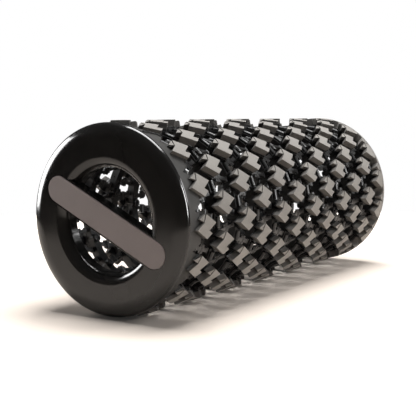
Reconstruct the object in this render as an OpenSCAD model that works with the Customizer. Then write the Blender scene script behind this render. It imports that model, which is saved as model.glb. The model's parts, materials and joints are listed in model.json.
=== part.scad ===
// Collapsible massage roller: rings of angled pads on a tube of folding links.
// The roller lies along X with its near end at -X. Pushed shut, the rings slide
// together until the pads of neighbouring rings nest into each other.

/* [Roller] */
// Diameter across the massage pads
roller_d = 140; // [139:0.5:141]
// Distance from the near end face to the middle of the first ring
first_ring_x = 24.1; // [24:0.1:24.5]
// Distance between neighbouring rings when the roller is open
open_pitch = 27.64; // [27:0.02:28.5]
// How much nearer to the near end the even rings stand
even_shift = 1.5; // [0:0.1:2]
// Turn of the first ring about the roller's axis, in degrees
ring_turn = 43.6; // [40:0.1:48]

/* [Pads] */
// Pads on each ring
pad_count = 15; // [14:1:15]
// Angle of the pad's sides against the roller's axis, in degrees
pad_lean = 30; // [28:1:32]
// Long side of a pad
pad_long = 14.3; // [13.8:0.1:14.4]
// Wide arm of a pad
pad_arm = 9.55; // [9:0.05:9.6]
// Step between the two arms of a pad
pad_step = 4.8; // [4.4:0.1:4.8]
// Narrow arm of a pad
pad_tip = 7; // [6.6:0.1:7]
// Height of a pad above its seat
pad_h = 6.4; // [6.2:0.1:6.4]

/* [Hoops and links] */
// Width of a hoop along the roller
hoop_w = 7; // [5:0.1:7.4]
// Inner radius of a hoop
hoop_in_r = 55; // [55:0.1:57]
// Outer radius of a hoop
hoop_out_r = 61; // [60.8:0.1:61.2]
// Diameter of the hinge bar between two pads
bar_d = 4; // [3.6:0.1:4]
// Width of a link
link_w = 3.4; // [2.4:0.1:3.6]
// Sideways turn of a link's end from its middle, in degrees
link_slant = 2.2; // [1.8:0.1:2.4]

/* [Ends] */
// Outer radius of the end rings
end_r = 68.6; // [68:0.1:69]
// Thickness of an end ring
end_t = 5.8; // [5.6:0.1:6]
// Outer radius of the flat of the end face
face_r = 58; // [57.5:0.1:59]
// Radius of the rounding where the end ring meets its outer edge
edge_round = 4; // [3.6:0.1:4.4]
// Radius of the hole where it meets the end face
lip_r = 45.2; // [44.8:0.1:45.4]
// Radius of the rounding inside the hole's lip
lip_round = 7.5; // [7:0.1:8]
// Depth of the hole's throat behind the end face
throat_depth = 14; // [12:0.5:15]
// Outer radius of the near collar
near_collar_r = 66.5; // [66:0.1:67]
// Width of the near collar at the bottom of its notches
near_collar_w = 9; // [8.5:0.1:9]

/* [Grip] */
// Length of the grip pad
grip_l = 113; // [110:1:114]
// Width of the grip pad
grip_w = 19.3; // [18:0.1:20]
// Thickness of the grip pad
grip_t = 2.6; // [2.4:0.1:2.8]
// Rise of the grip towards +Y, in degrees
grip_tilt = 26; // [0:1:45]
// Depth of the bridge under the grip pad
bridge_depth = 9; // [8:0.5:12]

/* [Hidden] */
$fn = 96;
RINGS = 12;

// radii, counted from the roller's axis
roller_r = roller_d / 2;
seat_r = roller_r - pad_h;
foot_h = 0.3;
near_seat_r = near_collar_r + foot_h;
far_tooth_r = roller_r - 0.2;
throat_r = lip_r - lip_round;
throat_wall = 2.4;
flange_in_r = 45.8;
bar_r = seat_r - 0.4 - bar_d / 2;

// places along the roller, counted from the near end face
function ring_x(k) = first_ring_x + open_pitch * (k - 1) - (k % 2 == 0 ? even_shift : 0);
seam = 0.4;
collar_x = end_t + seam;
flange_t = 2.6;
seat_half_w = 3.8;
far_rim_x = ring_x(RINGS) + seat_half_w;
length = far_rim_x + flange_t + seam + end_t;
// the near collar's edge, counted from the middle of the first ring
near_edge_x = -1.4;

// angles around the roller, in degrees
pad_pitch = 360 / pad_count;
function ring_angle(k) = ring_turn + (k % 2 == 0 ? pad_pitch / 2 : 0);
function arc_y(degrees, r) = -r * sin(degrees);

// outline of a pad, seen from outside: a stepped lozenge, the same after half a turn
along = [cos(pad_lean), -sin(pad_lean)];
across = [-cos(pad_lean), -sin(pad_lean)];
pad_corner = -(pad_long + pad_step) / 2 * along - (pad_arm + pad_tip) / 2 * across;
pad_half = [
    pad_corner,
    pad_corner + pad_long * along,
    pad_corner + pad_long * along + pad_arm * across,
    pad_corner + (pad_long + pad_step) * along + pad_arm * across
];
pad_outline = concat(pad_half, [for (p = pad_half) -p]);

// the end ring's outer edge is two arcs that meet smoothly: a flat one and edge_round
edge_gap = end_r - edge_round - face_r;
flat_arc_r = (edge_gap ^ 2 + end_t ^ 2 - edge_round ^ 2) / (2 * (end_t - edge_round));
arcs_meet_r = face_r + flat_arc_r * edge_gap / (flat_arc_r - edge_round);

boss_r = 3.7;
boss_in_r = 54.2;
boss_l = 6;
plug_head_r = 3.25;
plug_head_h = 1.8;
plug_stem_r = 1.9;
plug_grip = 2.4;
bar_l = 7.6;
link_play = 0.3;
link_in_r = 57.8;
link_out_r = 60.2;

screw_offset = 48.8;
screw_r = 2;
screw_head_r = 3.6;
screw_head_h = 1.7;
screw_l = 10.5;
screw_boss_r = 3.3;
screw_boss_l = 9;
recess_gap = 0.4;
recess_play = 0.1;
bridge_side = 0.8;

pad_colour = "#969189";
frame_colour = "#232323";
collar_colour = "#5f5d5a";
gloss_colour = "#151515";
grip_colour = "#786e6e";
steel_colour = "#a0a0a0";

// stands the roller's axis one radius above the ground, with its middle over the origin
module placed() {
    translate([-length / 2, 0, roller_r]) children();
}

// the far end is the near end's mirror image along the roller
module at_far_end() {
    translate([length, 0, 0]) mirror([1, 0, 0]) children();
}

module at_ring(k) {
    translate([ring_x(k), 0, 0]) rotate([ring_angle(k), 0, 0]) children();
}

// copies once for each pad of a ring; they start on top and go round towards -Y
module each_pad(turn = 0) {
    for (i = [0:pad_count - 1])
        rotate([i * pad_pitch + turn, 0, 0]) children();
}

module tube(outer_r, inner_r, from_x, to_x) {
    translate([from_x, 0, 0]) rotate([0, 90, 0]) difference() {
        cylinder(h = to_x - from_x, r = outer_r);
        translate([0, 0, -1]) cylinder(h = to_x - from_x + 2, r = inner_r);
    }
}

// an outline wrapped on the roller: raised from one radius to another
module wrapped(outline, inner_r, outer_r) {
    intersection() {
        translate([0, 0, inner_r - 4]) linear_extrude(outer_r - inner_r + 5) polygon(outline);
        tube(outer_r, inner_r, -20, 20);
    }
}

module pad(from_r) {
    difference() {
        wrapped(pad_outline, from_r, roller_r);
        translate([0, 0, from_r - 2]) cylinder(h = 2 + plug_grip, r = plug_stem_r);
    }
}

// the plug that holds a pad, pushed in from inside the roller
module plug(pad_from_r) {
    translate([0, 0, boss_in_r - plug_head_h]) cylinder(h = plug_head_h, r = plug_head_r);
    translate([0, 0, boss_in_r - 0.1])
        cylinder(h = pad_from_r + plug_grip - boss_in_r + 0.1, r = plug_stem_r);
}

// the part of a pad's seat that a neighbouring ring can close up to
module seat() {
    intersection() {
        wrapped(pad_outline, hoop_out_r - 1, seat_r);
        translate([-seat_half_w, -20, 0]) cube([2 * seat_half_w, 40, roller_r]);
    }
}

module hoop_body() {
    difference() {
        union() {
            tube(hoop_out_r, hoop_in_r, -hoop_w / 2, hoop_w / 2);
            each_pad() {
                translate([0, 0, boss_in_r]) cylinder(h = boss_l, r = boss_r);
                seat();
            }
            each_pad(pad_pitch / 2)
                translate([0, bar_l / 2, bar_r]) rotate([90, 0, 0]) cylinder(h = bar_l, r = bar_d / 2);
        }
        each_pad() translate([0, 0, boss_in_r - 1])
            cylinder(h = roller_r - boss_in_r, r = plug_stem_r);
    }
}

module hoop(k) {
    color(frame_colour) placed() at_ring(k) hoop_body();
}

// the first ring's pads stand on the near collar, and the last ring's end level with the far one
module pads(k) {
    color(pad_colour) placed() intersection() {
        at_ring(k) each_pad() pad(pad_base_r(k));
        if (k == RINGS) tube(roller_r + 1, hoop_in_r, ring_x(k) - 20, far_rim_x);
    }
}
function pad_base_r(k) = k == 1 ? near_seat_r : seat_r;

module plugs(k) {
    color(frame_colour) placed() at_ring(k) each_pad() plug(pad_base_r(k));
}

// the straps that join ring k to the next ring, leaning alternately to either side
module links(k) {
    from_x = ring_x(k) + hoop_w / 2 + link_play;
    to_x = ring_x(k + 1) - hoop_w / 2 - link_play;
    mid_r = (link_in_r + link_out_r) / 2;
    rise = 2 * mid_r * sin(link_slant);
    lean = atan(rise / (to_x - from_x));
    color(frame_colour) placed() intersection() {
        for (i = [0:2 * pad_count - 1])
            rotate([ring_turn + (i + 0.5) * pad_pitch / 2, 0, 0])
                translate([(from_x + to_x) / 2, 0, mid_r])
                    rotate([0, 0, i % 2 == 0 ? lean : -lean])
                        cube([to_x - from_x + 5, link_w, 6], center = true);
        tube(link_out_r, link_in_r, from_x, to_x);
    }
}

// outline of the grip pad and of its recess, lying across the end's hole
module grip_outline(grow) {
    square([grip_l - grip_w, grip_w + 2 * grow], center = true);
    for (side = [-1, 1])
        translate([side * (grip_l - grip_w) / 2, 0]) circle(r = grip_w / 2 + grow);
}

// lays an outline on the end face, its length along Y tilted up, its depth along X
module on_end_face(from_x, depth) {
    rotate([grip_tilt, 0, 0]) translate([from_x, 0, 0]) rotate([90, 0, 90])
        linear_extrude(depth) children();
}

module at_screws() {
    for (side = [-1, 1])
        rotate([grip_tilt, 0, 0]) translate([0, side * screw_offset, 0]) rotate([0, 90, 0]) children();
}

// section of the end ring: radius across, depth behind the end face upwards
module end_section() {
    translate([lip_r, 0]) square([face_r - lip_r, end_t]);
    translate([throat_r, lip_round]) square([throat_wall, throat_depth - lip_round]);
    intersection() {
        translate([lip_r, lip_round]) circle(r = lip_round);
        translate([throat_r, 0]) square([lip_round, lip_round]);
    }
    intersection() {
        translate([face_r, flat_arc_r]) circle(r = flat_arc_r);
        translate([face_r, 0]) square([arcs_meet_r - face_r, end_t]);
    }
    intersection() {
        translate([end_r - edge_round, end_t]) circle(r = edge_round);
        translate([end_r - edge_round, end_t - edge_round]) square([edge_round, edge_round]);
    }
}

module end_ring() {
    bridge_w = grip_w + 2 * (recess_gap + bridge_side);
    color(gloss_colour) difference() {
        union() {
            rotate([0, 90, 0]) rotate_extrude() end_section();
            on_end_face(0, end_t) square([2 * lip_r, bridge_w], center = true);
            on_end_face(0, bridge_depth) square([2 * throat_r + throat_wall, bridge_w], center = true);
        }
        on_end_face(-1, 1 + grip_t + recess_play) grip_outline(recess_gap);
        at_screws() {
            cylinder(h = end_t + 1, r = screw_r + 0.2);
            cylinder(h = grip_t + screw_head_h + 0.2, r = screw_head_r + 0.3);
        }
    }
}

module grip_pad() {
    color(grip_colour) on_end_face(0, grip_t) grip_outline(0);
}

module end_screws() {
    color(steel_colour) at_screws() difference() {
        union() {
            translate([0, 0, grip_t + 0.2]) cylinder(h = screw_head_h, r = screw_head_r);
            translate([0, 0, grip_t + 1]) cylinder(h = screw_l, r = screw_r);
        }
        translate([0, 0, grip_t]) cylinder(h = 1.2, r = 1.5, $fn = 6);
    }
}

// the flange behind an end ring, with the two bosses that its screws bite in
module end_flange(outer_r) {
    difference() {
        union() {
            tube(outer_r, flange_in_r, collar_x, collar_x + flange_t);
            at_screws() translate([0, 0, collar_x]) cylinder(h = screw_boss_l, r = screw_boss_r);
        }
        at_screws() cylinder(h = collar_x + screw_boss_l - 1, r = screw_r);
    }
}

// a notch in the near collar's edge, just past a pad: degrees from the pad's middle
module near_notch() {
    r = near_collar_r;
    wrapped([
        [0, arc_y(9.8, r)],
        [collar_x + near_collar_w - first_ring_x, arc_y(14.6, r)],
        [near_edge_x - 2.6, arc_y(16.6, r)],
        [0, arc_y(17.2, r)]
    ], seat_r - 1, near_collar_r + 1);
}

module near_flange() {
    color(collar_colour) placed() end_flange(near_collar_r);
}

// the sleeve behind the near flange, with a raised foot for each pad of the first ring
module near_collar() {
    color(collar_colour) placed() at_ring(1) difference() {
        union() {
            tube(near_collar_r, seat_r + foot_h, collar_x + flange_t - first_ring_x, near_edge_x);
            each_pad() wrapped(pad_outline, seat_r, near_seat_r);
        }
        each_pad() near_notch();
        each_pad() translate([0, 0, seat_r - 2]) cylinder(h = roller_r - seat_r, r = plug_stem_r);
    }
}

// a tooth of the far collar's rim: degrees from the middle between two pads
module far_tooth() {
    wrapped([
        [5, arc_y(-1.5, roller_r)],
        [-1.6, arc_y(2.1, roller_r)],
        [1.8, arc_y(5, roller_r)],
        [5, arc_y(5.5, roller_r)]
    ], seat_r, far_tooth_r);
}

module far_collar() {
    color(pad_colour) placed() {
        at_far_end() end_flange(roller_r);
        at_ring(RINGS) each_pad(-pad_pitch / 2) far_tooth();
    }
}

placed() end_ring();  // near_end_ring
placed() grip_pad();  // near_grip_pad
near_flange();
near_collar();
placed() end_screws();  // near_screws
for (k = [1:RINGS]) hoop(k);
for (k = [1:RINGS]) pads(k);
for (k = [1:RINGS]) plugs(k);
for (k = [1:RINGS - 1]) links(k);
placed() at_far_end() end_ring();  // far_end_ring
placed() at_far_end() grip_pad();  // far_grip_pad
far_collar();
placed() at_far_end() end_screws();  // far_screws
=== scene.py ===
import json
import math

import bmesh
import bpy
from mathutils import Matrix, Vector


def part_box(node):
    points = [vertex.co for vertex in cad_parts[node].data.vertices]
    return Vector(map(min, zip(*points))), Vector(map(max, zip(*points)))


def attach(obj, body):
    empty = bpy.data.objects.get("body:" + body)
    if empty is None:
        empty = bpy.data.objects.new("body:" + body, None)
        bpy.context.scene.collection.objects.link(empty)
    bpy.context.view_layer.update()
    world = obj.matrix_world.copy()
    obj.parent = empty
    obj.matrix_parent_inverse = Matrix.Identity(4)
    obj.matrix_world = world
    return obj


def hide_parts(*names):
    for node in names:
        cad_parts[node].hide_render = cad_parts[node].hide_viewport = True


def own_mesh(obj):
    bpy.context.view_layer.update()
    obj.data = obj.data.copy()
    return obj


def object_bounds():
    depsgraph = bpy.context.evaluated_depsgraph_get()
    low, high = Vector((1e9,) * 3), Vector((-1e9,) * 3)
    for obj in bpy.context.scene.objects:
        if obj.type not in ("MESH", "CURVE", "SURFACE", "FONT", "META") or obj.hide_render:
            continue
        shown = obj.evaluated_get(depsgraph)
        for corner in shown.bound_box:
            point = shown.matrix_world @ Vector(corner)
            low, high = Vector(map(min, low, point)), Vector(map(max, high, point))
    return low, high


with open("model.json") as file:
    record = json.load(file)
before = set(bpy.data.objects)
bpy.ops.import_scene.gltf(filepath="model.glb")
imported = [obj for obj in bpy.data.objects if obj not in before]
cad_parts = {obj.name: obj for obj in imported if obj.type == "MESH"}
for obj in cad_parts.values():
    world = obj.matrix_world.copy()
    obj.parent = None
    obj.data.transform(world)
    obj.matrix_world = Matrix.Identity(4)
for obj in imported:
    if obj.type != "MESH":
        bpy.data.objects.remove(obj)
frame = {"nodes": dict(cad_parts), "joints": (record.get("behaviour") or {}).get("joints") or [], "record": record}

# A massage roller that pushes shut: foam pads on black hoops, joined by folding links,
# between two glossy end rings with grip bars. Lengths are in metres, angles in radians.

CAD_BOX = [list(corner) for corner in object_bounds()]
MM = 0.001

# ------------------------------------------------------------------ places on the roller

RINGS = 12
PADS = 15
PAD_PITCH = 2 * math.pi / PADS
RING_TURN = math.radians(43.6)
PAD_H = 6.4 * MM
HOOP_IN_R = 55 * MM
LINK_T = 2.3 * MM


def middle(node):
    low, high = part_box(node)
    return (low + high) / 2


AXIS_Z = middle("far_collar").z


def reach(node):
    """How far the node's box stands above the roller's axis."""
    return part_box(node)[1].z - AXIS_Z


ROLLER_R = reach("far_collar")
SEAT_R = ROLLER_R - PAD_H
NEAR_SEAT_R = reach("near_collar")
LINK_OUT_R = reach("links_1")
RING_X = {k: middle(f"plugs_{k}").x for k in range(1, RINGS + 1)}
BODIES = {1: "near_end", RINGS: "far_end"} | {k: f"ring_{k}" for k in range(2, RINGS)}


def ring_turn(k):
    """The turn of ring k's first pad from straight up, towards -Y. Even rings stand half a pad on."""
    return RING_TURN + (PAD_PITCH / 2 if k % 2 == 0 else 0)


def on_roller(x, turn, radius):
    return Vector((x, -radius * math.sin(turn), AXIS_Z + radius * math.cos(turn)))


# ------------------------------------------------------------------ materials


class Finish:
    """A Principled material with helpers that add its grain and its unevenness."""

    def __init__(self, name, colour, roughness, **sockets):
        self.material = bpy.data.materials.new(name)
        self.material.use_nodes = True
        self.nodes = self.material.node_tree.nodes
        self.links = self.material.node_tree.links
        self.shader = self.nodes["Principled BSDF"]
        self.roughness = roughness
        self.shader.inputs["Base Color"].default_value = (*colour, 1)
        self.shader.inputs["Roughness"].default_value = roughness
        for socket, value in sockets.items():
            self.shader.inputs[socket.replace("_", " ")].default_value = value
        self.place = self.nodes.new("ShaderNodeTexCoord").outputs["Object"]
        self.normal = None

    def noise(self, size, detail=3, rough=0.5):
        """A noise whose features are about size metres across, from 0 to 1."""
        node = self.nodes.new("ShaderNodeTexNoise")
        node.inputs["Scale"].default_value = 0.5 / size
        node.inputs["Detail"].default_value = detail
        node.inputs["Roughness"].default_value = rough
        self.links.new(self.place, node.inputs["Vector"])
        return node.outputs["Fac"]

    def cells(self, size):
        """Rounded cells about size metres across, from 0 in their middles to 1 between them."""
        node = self.nodes.new("ShaderNodeTexVoronoi")
        node.inputs["Scale"].default_value = 1 / size
        self.links.new(self.place, node.inputs["Vector"])
        return node.outputs["Distance"]

    def spread(self, fac, low, high, from_low=0.3, from_high=0.7):
        node = self.nodes.new("ShaderNodeMapRange")
        node.inputs["From Min"].default_value = from_low
        node.inputs["From Max"].default_value = from_high
        node.inputs["To Min"].default_value = low
        node.inputs["To Max"].default_value = high
        self.links.new(fac, node.inputs["Value"])
        return node.outputs["Result"]

    def tint(self, fac, other):
        """Mixes the colour towards another where fac is high."""
        node = self.nodes.new("ShaderNodeMix")
        node.data_type = "RGBA"
        now = self.shader.inputs["Base Color"]
        if now.is_linked:
            self.links.new(now.links[0].from_socket, node.inputs["A"])
        else:
            node.inputs["A"].default_value = now.default_value
        node.inputs["B"].default_value = (*other, 1)
        self.links.new(fac, node.inputs["Factor"])
        self.links.new(node.outputs["Result"], now)
        return self

    def uneven(self, size, by):
        """Roughness that wanders by the given amount over size metres."""
        fac = self.spread(self.noise(size), self.roughness - by, self.roughness + by)
        self.links.new(fac, self.shader.inputs["Roughness"])
        return self

    def bump(self, fac, depth, strength):
        node = self.nodes.new("ShaderNodeBump")
        node.inputs["Strength"].default_value = strength
        node.inputs["Distance"].default_value = depth
        self.links.new(fac, node.inputs["Height"])
        if self.normal is not None:
            self.links.new(self.normal, node.inputs["Normal"])
        self.normal = node.outputs["Normal"]
        self.links.new(self.normal, self.shader.inputs["Normal"])
        return self


def foam():
    """Closed-cell foam: warm grey and dull, with a fine skin grain."""
    f = Finish("pad_foam", (0.245, 0.232, 0.215), 0.78, Specular_IOR_Level=0.32)
    f.tint(f.spread(f.noise(9 * MM), 0, 0.55), (0.205, 0.193, 0.178))
    f.tint(f.spread(f.noise(0.9 * MM, 4, 0.6), 0, 0.35, 0.4, 0.7), (0.29, 0.275, 0.255))
    f.uneven(4 * MM, 0.06)
    f.bump(f.noise(0.45 * MM, 4, 0.65), 0.12 * MM, 0.8)
    return f.bump(f.cells(0.8 * MM), 0.05 * MM, 0.6).material


def foam_walls_painted_shade():
    """The pads' wall foam: painted shade, at half the skin's brightness, with a coarser grain."""
    f = Finish("pad_foam_walls_painted_shade", (0.125, 0.118, 0.109), 0.9, Specular_IOR_Level=0.2)
    f.tint(f.spread(f.noise(5 * MM), 0, 0.6), (0.098, 0.092, 0.085))
    f.uneven(3 * MM, 0.05)
    f.bump(f.noise(0.6 * MM, 4, 0.65), 0.16 * MM, 0.8)
    return f.bump(f.cells(0.9 * MM), 0.08 * MM, 0.7).material


def collar_skin_painted_shade():
    # painted shade: the far rim's grained skin, coloured far darker for the near collar and flange
    f = Finish("collar", (0.034, 0.0325, 0.03), 0.62, Specular_IOR_Level=0.28)
    f.tint(f.spread(f.noise(12 * MM), 0, 0.6), (0.027, 0.0258, 0.024))
    f.uneven(6 * MM, 0.07)
    return f.bump(f.noise(0.35 * MM, 3, 0.6), 0.06 * MM, 0.8).material


def rim_skin():
    """The far collar: the same grained skin in the pads' lighter grey."""
    f = Finish("rim", (0.21, 0.2, 0.187), 0.66, Specular_IOR_Level=0.4)
    f.tint(f.spread(f.noise(12 * MM), 0, 0.6), (0.18, 0.171, 0.16))
    f.uneven(6 * MM, 0.07)
    return f.bump(f.noise(0.35 * MM, 3, 0.6), 0.06 * MM, 0.8).material


def gloss_black():
    """Polished moulding: black, with faint handling marks in its gloss."""
    f = Finish("gloss_black", (0.0125, 0.0121, 0.0117), 0.14, Specular_IOR_Level=0.42)
    f.tint(f.spread(f.noise(30 * MM), 0, 0.5), (0.0165, 0.016, 0.0155))
    f.uneven(11 * MM, 0.03)
    f.bump(f.noise(14 * MM, 2), 0.03 * MM, 0.35)
    return f.bump(f.noise(0.3 * MM, 2, 0.5), 0.006 * MM, 0.5).material


def frame_black():
    f = Finish("frame_black", (0.007, 0.0068, 0.0066), 0.34, Specular_IOR_Level=0.42)
    f.tint(f.spread(f.noise(8 * MM), 0, 0.6), (0.011, 0.0106, 0.0102))
    f.uneven(3 * MM, 0.08)
    return f.bump(f.noise(0.3 * MM, 3, 0.6), 0.03 * MM, 0.6).material


def link_black():
    f = Finish("link_black", (0.011, 0.0106, 0.0102), 0.38, Specular_IOR_Level=0.45)
    f.tint(f.spread(f.noise(5 * MM), 0, 0.6), (0.017, 0.0163, 0.0158))
    f.uneven(2 * MM, 0.08)
    return f.bump(f.noise(0.25 * MM, 3, 0.6), 0.03 * MM, 0.6).material


def grip_skin():
    """Soft-touch overmoulding on the grip bar."""
    f = Finish("grip", (0.225, 0.193, 0.193), 0.58, Specular_IOR_Level=0.4)
    f.tint(f.spread(f.noise(14 * MM), 0, 0.55), (0.2, 0.172, 0.172))
    f.uneven(5 * MM, 0.05)
    f.bump(f.cells(0.55 * MM), 0.035 * MM, 0.6)
    return f.bump(f.noise(0.25 * MM, 3, 0.6), 0.03 * MM, 0.6).material


def screw_steel():
    f = Finish("screw_steel", (0.5, 0.5, 0.49), 0.32, Metallic=1.0)
    f.uneven(1.5 * MM, 0.08)
    return f.bump(f.noise(0.4 * MM, 3, 0.6), 0.02 * MM, 0.6).material


FOAM, FOAM_WALLS_PAINTED_SHADE = foam(), foam_walls_painted_shade()
COLLAR_PAINTED_SHADE, RIM = collar_skin_painted_shade(), rim_skin()
GLOSS, FRAME, LINK = gloss_black(), frame_black(), link_black()
GRIP, STEEL = grip_skin(), screw_steel()


# ------------------------------------------------------------------ mesh helpers

SHARP_ANGLE = math.radians(32)
ROUND_ANGLE = math.radians(34)


def make_piece(name, verts, faces, material, body, node):
    """A mesh object that rides on a body and stands for the CAD node named."""
    mesh = bpy.data.meshes.new(name)
    mesh.from_pydata(verts, [], faces)
    build = bmesh.new()
    build.from_mesh(mesh)
    bmesh.ops.recalc_face_normals(build, faces=build.faces)
    build.to_mesh(mesh)
    build.free()
    mesh.shade_smooth()
    mesh.set_sharp_from_angle(angle=SHARP_ANGLE)
    piece = bpy.data.objects.new(name, mesh)
    bpy.context.collection.objects.link(piece)
    mesh.materials.append(material)
    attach(piece, body)
    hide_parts(node)
    return piece


def soften(piece, width, segments=2):
    """Rounds every edge that turns by more than ROUND_ANGLE."""
    bevel = piece.modifiers.new("round", "BEVEL")
    bevel.width = width
    bevel.segments = segments
    bevel.limit_method = "ANGLE"
    bevel.angle_limit = ROUND_ANGLE
    bevel.harden_normals = True


class Shape:
    """Points and faces of one repeated shape, in flat coordinates: along, round and out."""

    def __init__(self):
        self.build = bmesh.new()

    def point(self, along, around, out):
        return self.build.verts.new((along, around, out))

    def face(self, *points):
        return self.build.faces.new(points)

    def slice_round(self, step):
        """Cuts the shape across every step of its way round, so that it can bend on the roller."""
        ends = [v.co.y for v in self.build.verts]
        count = int((max(ends) - min(ends)) / step)
        for i in range(1, count + 1):
            parts = [*self.build.verts, *self.build.edges, *self.build.faces]
            bmesh.ops.bisect_plane(
                self.build, geom=parts, plane_co=(0, min(ends) + i * step, 0), plane_no=(0, 1, 0)
            )
        return self

    def cut_off(self, along):
        """Takes away what lies past a place along the roller, and closes the cut."""
        parts = [*self.build.verts, *self.build.edges, *self.build.faces]
        made = bmesh.ops.bisect_plane(
            self.build, geom=parts, plane_co=(along, 0, 0), plane_no=(1, 0, 0), clear_outer=True
        )
        edges = [e for e in made["geom_cut"] if isinstance(e, bmesh.types.BMEdge)]
        bmesh.ops.edgeloop_fill(self.build, edges=edges)
        return self

    def lists(self):
        self.build.verts.index_update()
        points = [tuple(v.co) for v in self.build.verts]
        faces = [[v.index for v in f.verts] for f in self.build.faces]
        self.build.free()
        return points, faces


def wrap_copies(shape, x, turns, radius):
    """Copies of a flat shape laid round the roller, at x and at each turn.

    The shape keeps its width at the radius given.
    """
    points, faces = shape
    verts, polygons = [], []
    for turn in turns:
        start = len(verts)
        verts += [on_roller(x + a, turn + s / radius, r) for a, s, r in points]
        polygons += [[start + i for i in face] for face in faces]
    return verts, polygons


# ------------------------------------------------------------------ pads

PAD_LEAN = math.radians(30)
PAD_LONG, PAD_ARM, PAD_STEP, PAD_TIP = 14.3 * MM, 9.55 * MM, 4.8 * MM, 7 * MM
CREASE_HALF, CREASE_DEPTH = 0.5 * MM, 1.2 * MM
CREASE_SLANT = 1.3
LOBE_DROP, LOBE_TIP_DROP = 0.3 * MM, 1.5 * MM
PAD_BASE_T, NEAR_BASE_T = 1.4 * MM, 0.6 * MM
BEND_STEP = 2.6 * MM
FOAM_ROUND, BASE_ROUND = 0.35 * MM, 0.2 * MM
TOP_FACING = 0.5


def pad_outline():
    """The stepped lozenge's corners, along and round, from the upper one.

    Half a turn maps the outline on itself.
    """
    along = Vector((math.cos(PAD_LEAN), math.sin(PAD_LEAN)))
    across = Vector((-math.cos(PAD_LEAN), math.sin(PAD_LEAN)))
    corner = -(PAD_LONG + PAD_STEP) / 2 * along - (PAD_ARM + PAD_TIP) / 2 * across
    half = [
        corner,
        corner + PAD_LONG * along,
        corner + PAD_LONG * along + PAD_ARM * across,
        corner + (PAD_LONG + PAD_STEP) * along + PAD_ARM * across,
    ]
    return half + [-p for p in half]


def add_walls(shape, rim, low_r):
    """Walls down from a rim to a radius, and the face that closes them below."""
    foot = [shape.point(v.co.x, v.co.y, low_r) for v in rim]
    for i, v in enumerate(rim):
        j = (i + 1) % len(rim)
        shape.face(v, foot[i], foot[j], rim[j])
    shape.face(*reversed(foot))


def finished(shape, cut):
    """The shape's points and faces, sliced so that it can bend, and cut level if a place is given."""
    shape.slice_round(BEND_STEP)
    if cut is not None:
        shape.cut_off(cut)
    return shape.lists()


def pad_shape(low_r, cut):
    """The foam of one pad: a flat top, a lobe creased off it that slopes away, and walls."""
    upper, right, right_notch, right_tip, lower, left, left_notch, left_tip = pad_outline()
    shape = Shape()

    def beside(corner, towards):
        """Where the crease's side meets the outline, which it crosses at a slant."""
        return corner + (towards - corner).normalized() * CREASE_HALF * CREASE_SLANT

    body = [beside(upper, right), right, right_notch, right_tip, lower, left, beside(left_notch, left)]
    body_top = [shape.point(p.x, p.y, ROLLER_R) for p in body]
    near_notch, near_upper = beside(left_notch, left_tip), beside(upper, left_tip)
    lobe_top = [
        shape.point(near_notch.x, near_notch.y, ROLLER_R - LOBE_DROP),
        shape.point(left_tip.x, left_tip.y, ROLLER_R - LOBE_TIP_DROP),
        shape.point(near_upper.x, near_upper.y, ROLLER_R - LOBE_DROP),
    ]
    dips = [shape.point(p.x, p.y, ROLLER_R - CREASE_DEPTH) for p in (left_notch, upper)]
    shape.face(*body_top)
    shape.face(*lobe_top)
    shape.face(body_top[-1], dips[0], dips[1], body_top[0])
    shape.face(dips[0], lobe_top[0], lobe_top[-1], dips[1])
    add_walls(shape, [*body_top, dips[0], *lobe_top, dips[1]], low_r)
    return finished(shape, cut)


def pad_base_shape(low_r, high_r, cut):
    """The moulded plate that one pad's foam is bonded to.

    Its black band round the pad's foot is also painted shade, for the gap under the raised foam.
    """
    shape = Shape()
    rim = [shape.point(p.x, p.y, high_r) for p in pad_outline()]
    shape.face(*rim)
    add_walls(shape, rim, low_r)
    return finished(shape, cut)


def pad_turns(k):
    return [ring_turn(k) + i * PAD_PITCH for i in range(PADS)]


def make_pads(k):
    """The foam of ring k's pads, and the plates under it. The last ring's are cut level."""
    seat_r = NEAR_SEAT_R if k == 1 else SEAT_R
    foam_r = seat_r + (NEAR_BASE_T if k == 1 else PAD_BASE_T)
    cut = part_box(f"pads_{k}")[1].x - RING_X[k] if k == RINGS else None
    foam_of_one = pad_shape(foam_r, cut)
    verts, faces = wrap_copies(foam_of_one, RING_X[k], pad_turns(k), ROLLER_R)
    piece = make_piece(
        f"foam_pads_{k}", verts, faces, FOAM, BODIES[k], f"pads_{k}"
    )
    piece.data.materials.append(FOAM_WALLS_PAINTED_SHADE)
    # faces that do not face outwards take the darker foam: painted shade on the pad walls
    for face in piece.data.polygons:
        outwards = Vector((0, face.center.y, face.center.z - AXIS_Z)).normalized()
        face.material_index = 0 if face.normal.dot(outwards) > TOP_FACING else 1
    soften(piece, FOAM_ROUND)

    # the black plates also paint the shade of the gap under each pad's foam
    base_of_one = pad_base_shape(seat_r, foam_r, cut)
    verts, faces = wrap_copies(base_of_one, RING_X[k], pad_turns(k), ROLLER_R)
    plates = make_piece(
        f"pad_bases_{k}", verts, faces, FRAME, BODIES[k], f"pads_{k}"
    )
    soften(plates, BASE_ROUND)


# ------------------------------------------------------------------ plugs

PLUG_STEM_R, PLUG_HEAD_T = 1.9 * MM, 1.8 * MM
PLUG_RIM_T, PLUG_DIMPLE = 0.5 * MM, 0.9 * MM
PLUG_REACH_IN, PLUG_REACH_OUT = 2.6 * MM, 2.3 * MM
PLUG_SIDES = 20


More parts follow.
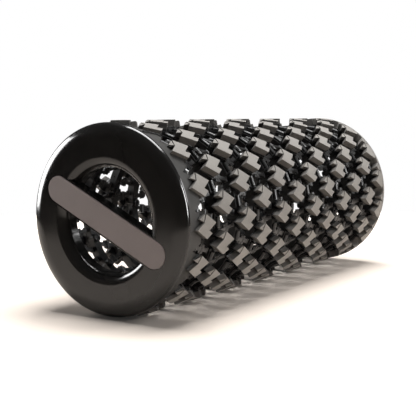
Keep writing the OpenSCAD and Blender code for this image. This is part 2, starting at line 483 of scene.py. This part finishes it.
def plug_shape(head_r, foot_r, stem_top):
    """A plug: a round head with a rounded rim and a dimple, which faces the axis, on a stem."""
    section = [
        (0.0, foot_r + PLUG_DIMPLE),
        (0.32 * head_r, foot_r + PLUG_DIMPLE),
        (0.42 * head_r, foot_r + PLUG_RIM_T / 2),
        (0.55 * head_r, foot_r),
        (0.86 * head_r, foot_r),
        (0.97 * head_r, foot_r + 0.36 * PLUG_RIM_T),
        (head_r, foot_r + PLUG_RIM_T),
        (head_r, foot_r + PLUG_HEAD_T),
        (PLUG_STEM_R, foot_r + PLUG_HEAD_T),
        (PLUG_STEM_R, stem_top),
        (0.0, stem_top),
    ]
    turns = [2 * math.pi * i / PLUG_SIDES for i in range(PLUG_SIDES)]
    shape = Shape()
    middle_low = shape.point(0, 0, section[0][1])
    middle_high = shape.point(0, 0, section[-1][1])
    loops = []
    for radius, out in section[1:-1]:
        loops.append([shape.point(radius * math.cos(t), radius * math.sin(t), out) for t in turns])
    for i in range(PLUG_SIDES):
        j = (i + 1) % PLUG_SIDES
        shape.face(middle_low, loops[0][i], loops[0][j])
        for low, high in zip(loops, loops[1:]):
            shape.face(low[i], high[i], high[j], low[j])
        shape.face(loops[-1][i], middle_high, loops[-1][j])
    return shape.lists()


def make_plugs(k):
    low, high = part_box(f"plugs_{k}")
    head_r = (high.x - low.x) / 2
    top_r = (NEAR_SEAT_R if k == 1 else SEAT_R) + PLUG_REACH_OUT
    plug = plug_shape(head_r, HOOP_IN_R - PLUG_REACH_IN, top_r)
    verts, faces = wrap_copies(plug, RING_X[k], pad_turns(k), HOOP_IN_R)
    make_piece(
        f"pad_plugs_{k}", verts, faces, FRAME, BODIES[k], f"plugs_{k}"
    )


# ------------------------------------------------------------------ links

LINK_W = 3.4 * MM
LINK_SLANT = math.radians(2.2)
LINK_SKIN = 0.15 * MM
STRAP_W, STRAP_INSET, STRAP_TRIM = 0.86 * LINK_W, 2 * MM, 0.2 * MM
EYE_W, EYE_R, EYE_INSET = LINK_W + 0.6 * MM, 1.3 * MM, 1.35 * MM
LUG_HALF_T = 0.7 * MM
LEAF_L, LEAF_W = 6.4 * MM, 6.8 * MM
LEAF_TRIM_IN, LEAF_TRIM_OUT = 0.5 * MM, 0.4 * MM
HINGE_W, HINGE_R = LEAF_W + 0.5 * MM, 1.35 * MM
HINGE_GAP, HINGE_SINK = 1.1 * MM, 0.15 * MM
KNUCKLE_SIDES = 14


def add_bar(shape, start, end, width, low, high):
    """A straight bar between two places (along, round), from one radius to another."""
    a, b = Vector(start), Vector(end)
    side = Vector((a.y - b.y, b.x - a.x)).normalized() * width / 2
    corners = [a - side, b - side, b + side, a + side]
    under = [shape.point(p.x, p.y, low) for p in corners]
    over = [shape.point(p.x, p.y, high) for p in corners]
    shape.face(*reversed(under))
    shape.face(*over)
    for i in range(4):
        j = (i + 1) % 4
        shape.face(under[i], under[j], over[j], over[i])


def add_knuckle(shape, at, direction, radius, length, out):
    """A round hinge barrel across a link, centred at (along, round) and out from the axis."""
    forward = Vector(direction).normalized()
    side = Vector((-forward.y, forward.x)) * length / 2
    turns = [2 * math.pi * i / KNUCKLE_SIDES for i in range(KNUCKLE_SIDES)]
    ends = []
    for sign in (-1, 1):
        loop = []
        for t in turns:
            p = Vector(at) + sign * side + forward * radius * math.cos(t)
            loop.append(shape.point(p.x, p.y, out + radius * math.sin(t)))
        ends.append(loop)
    shape.face(*ends[0])
    shape.face(*reversed(ends[1]))
    for i in range(KNUCKLE_SIDES):
        j = (i + 1) % KNUCKLE_SIDES
        shape.face(ends[0][i], ends[1][i], ends[1][j], ends[0][j])


def link_shape(length, lean):
    """One folding link: two straps, a hinge with its leaves between them and an eye at each end.

    It leans one way round the roller for a lean of 1, and the other way for -1.
    """
    out = LINK_OUT_R - LINK_T / 2
    half = length / 2
    rise = LINK_SLANT * LINK_OUT_R * lean
    start, end = Vector((-half, -rise)), Vector((half, rise))
    forward = (end - start).normalized()
    low, high = LINK_OUT_R - LINK_T, LINK_OUT_R - LINK_SKIN
    shape = Shape()
    for side, way in ((start, forward), (end, -forward)):
        strap_start, strap_end = side + way * STRAP_INSET, -way * HINGE_GAP
        add_bar(shape, strap_start, strap_end, STRAP_W, low + STRAP_TRIM, high)
        eye = side + way * EYE_INSET
        add_knuckle(shape, eye, forward, EYE_R, EYE_W, out)
        add_bar(shape, side, eye, EYE_W, out - LUG_HALF_T, out + LUG_HALF_T)
    leaf_end = forward * LEAF_L / 2
    add_bar(shape, -leaf_end, leaf_end, LEAF_W, low + LEAF_TRIM_IN, high - LEAF_TRIM_OUT)
    add_knuckle(shape, (0, 0), forward, HINGE_R, HINGE_W, out - HINGE_SINK)
    return shape.lists()


def make_links(k):
    """The links between ring k and ring k + 1. Their length when pushed shut is worked out but not used."""
    low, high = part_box(f"links_{k}")
    x, length = (low.x + high.x) / 2, high.x - low.x
    verts, faces = [], []
    for parity in (0, 1):
        turns = [
            RING_TURN + (i + 0.5) * PAD_PITCH / 2 for i in range(parity, 2 * PADS, 2)
        ]
        strap = link_shape(length, -1 if parity == 0 else 1)
        more_verts, more_faces = wrap_copies(strap, x, turns, LINK_OUT_R)
        start = len(verts)
        verts += more_verts
        faces += [[start + i for i in face] for face in more_faces]
    piece = make_piece(
        f"folding_links_{k}", verts, faces, LINK, BODIES[k], f"links_{k}"
    )
    folded = length - folded_travel(k)
    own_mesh(piece)


def folded_travel(k):
    """How much nearer ring k + 1 comes to ring k when the roller is pushed shut."""
    fold = next(j for j in frame["joints"] if j["name"] == "fold")
    ratios = {c["joint"]: c["ratio"] for c in frame["record"]["behaviour"]["couplings"]}
    ratios |= {"ring_1_slide": 0.0, f"ring_{RINGS}_slide": 1.0}
    step = ratios[f"ring_{k + 1}_slide"] - ratios[f"ring_{k}_slide"]
    return step * max(fold["range_m"])


# ------------------------------------------------------------------ the carried-over nodes

RING_ROUND, GRIP_ROUND = 0.35 * MM, 0.7 * MM
FLANGE_ROUND, FRAME_ROUND = 0.2 * MM, 0.3 * MM


def dress(node, material, width=0.0, segments=2):
    """Gives a CAD node its material, and rounds its sharp edges if a width is given."""
    piece = frame["nodes"][node]
    piece.data.materials.clear()
    piece.data.materials.append(material)
    if width:
        soften(piece, width, segments)


def dress_frame():
    for end in ("near", "far"):
        dress(f"{end}_end_ring", GLOSS, RING_ROUND)
        dress(f"{end}_grip_pad", GRIP, GRIP_ROUND, segments=3)
        dress(f"{end}_screws", STEEL)
    # the near flange and collar take the darker skin, which is painted shade
    dress("near_flange", COLLAR_PAINTED_SHADE, FLANGE_ROUND)
    dress("near_collar", COLLAR_PAINTED_SHADE, FRAME_ROUND)
    dress("far_collar", RIM, FRAME_ROUND)
    for k in range(1, RINGS + 1):
        dress(f"hoop_{k}", FRAME, FRAME_ROUND)


# ------------------------------------------------------------------ floor, light and camera


def floor_paint():
    """A warm white floor with a painted glow that only the camera sees.

    The glow grows outwards, so that its edge is lost in the backdrop and the cast shadow fades away from the
    middle.
    """
    f = Finish("floor", (0.8, 0.715, 0.64), 0.85, Specular_IOR_Level=0.0)
    f.shader.inputs["Emission Color"].default_value = (1, 0.985, 0.965, 1)
    seen = f.nodes.new("ShaderNodeLightPath")
    away = f.nodes.new("ShaderNodeVectorMath")
    away.operation = "LENGTH"
    f.links.new(f.place, away.inputs[0])
    glow = f.nodes.new("ShaderNodeMath")
    glow.operation = "MULTIPLY"
    strength = f.spread(away.outputs["Value"], low=0.02, high=0.9, from_low=0.2, from_high=0.5)
    f.links.new(strength, glow.inputs[0])
    f.links.new(seen.outputs["Is Camera Ray"], glow.inputs[1])
    f.links.new(glow.outputs["Value"], f.shader.inputs["Emission Strength"])
    return f.uneven(0.2, 0.03).material


def make_floor():
    radius, sides = 0.62, 96
    mesh = bpy.data.meshes.new("floor")
    turns = [2 * math.pi * i / sides for i in range(sides)]
    corners = [(radius * math.cos(t), radius * math.sin(t), 0) for t in turns]
    mesh.from_pydata(corners, [], [tuple(range(sides))])
    mesh.materials.append(floor_paint())
    floor = bpy.data.objects.new("floor", mesh)
    bpy.context.collection.objects.link(floor)


def make_world():
    """A white backdrop in a dim room, whose light comes mostly from above."""
    room_below, room_above = 0.01, 0.08
    world = bpy.data.worlds.new("studio")
    world.use_nodes = True
    nodes, links = world.node_tree.nodes, world.node_tree.links
    room = nodes["Background"]
    place = nodes.new("ShaderNodeTexCoord")
    height = nodes.new("ShaderNodeSeparateXYZ")
    shade = nodes.new("ShaderNodeMapRange")
    shade.inputs["From Min"].default_value = 0.0
    shade.inputs["From Max"].default_value = 1.0
    shade.inputs["To Min"].default_value = room_below
    shade.inputs["To Max"].default_value = room_above
    links.new(place.outputs["Generated"], height.inputs["Vector"])
    links.new(height.outputs["Z"], shade.inputs["Value"])
    links.new(shade.outputs["Result"], room.inputs["Strength"])
    room.inputs["Color"].default_value = (1, 1, 1, 1)
    backdrop = nodes.new("ShaderNodeBackground")
    backdrop.inputs["Color"].default_value = (1, 1, 1, 1)
    backdrop.inputs["Strength"].default_value = 1.0
    seen = nodes.new("ShaderNodeLightPath")
    either = nodes.new("ShaderNodeMixShader")
    links.new(seen.outputs["Is Camera Ray"], either.inputs["Fac"])
    links.new(room.outputs["Background"], either.inputs[1])
    links.new(backdrop.outputs["Background"], either.inputs[2])
    links.new(either.outputs["Shader"], nodes["World Output"].inputs["Surface"])
    bpy.context.scene.world = world


def make_light(name, place, aim, size, power):
    data = bpy.data.lights.new(name, "AREA")
    data.shape = "RECTANGLE"
    data.size, data.size_y = size
    data.energy = power
    light = bpy.data.objects.new(name, data)
    bpy.context.collection.objects.link(light)
    light.location = place
    light.rotation_mode = "QUATERNION"
    light.rotation_quaternion = (Vector(aim) - Vector(place)).to_track_quat("-Z", "Y")
    return light


def make_lights():
    make_world()
    centre = (0, 0, AXIS_Z)
    near_end = (CAD_BOX[0][0], 0, AXIS_Z)
    make_light("top_box", place=(0.1, 0.0, 1.3), aim=centre, size=(0.9, 0.7), power=31)
    make_light("front_box", place=(0.9, -0.95, 0.6), aim=centre, size=(0.5, 0.5), power=9)
    back_box = make_light("back_box", place=(0.4, 1.1, 0.6), aim=centre, size=(0.6, 0.5), power=5)
    back_box.visible_glossy = False
    # two cards that only the gloss shows
    right_card = make_light(
        "right_card", place=(-0.02, -1.1, 0.42), aim=near_end, size=(0.2, 0.6), power=18
    )
    left_card = make_light(
        "left_card", place=(-0.34, 1.0, 0.27), aim=near_end, size=(0.46, 0.52), power=13
    )
    for card in (right_card, left_card):
        card.visible_diffuse = False


def make_camera():
    """A long lens from the near end's side, a little over the roller."""
    data = bpy.data.cameras.new("camera")
    data.sensor_width = 36
    data.lens = 78.31
    camera = bpy.data.objects.new("camera", data)
    bpy.context.collection.objects.link(camera)
    camera.location = (-0.6527, -0.4032, 0.14174)
    heading, dip, roll = 0.5801, 0.10027, 0.00485
    camera.rotation_mode = "XYZ"
    camera.rotation_euler = (math.pi / 2 - dip, roll, heading - math.pi / 2)
    bpy.context.scene.camera = camera


# ------------------------------------------------------------------ the scene

make_camera()
make_floor()
make_lights()
dress_frame()
for ring in range(1, RINGS + 1):
    make_pads(ring)
    make_plugs(ring)
for gap_number in range(1, RINGS):
    make_links(gap_number)
bpy.context.scene.view_settings.view_transform = "Standard"
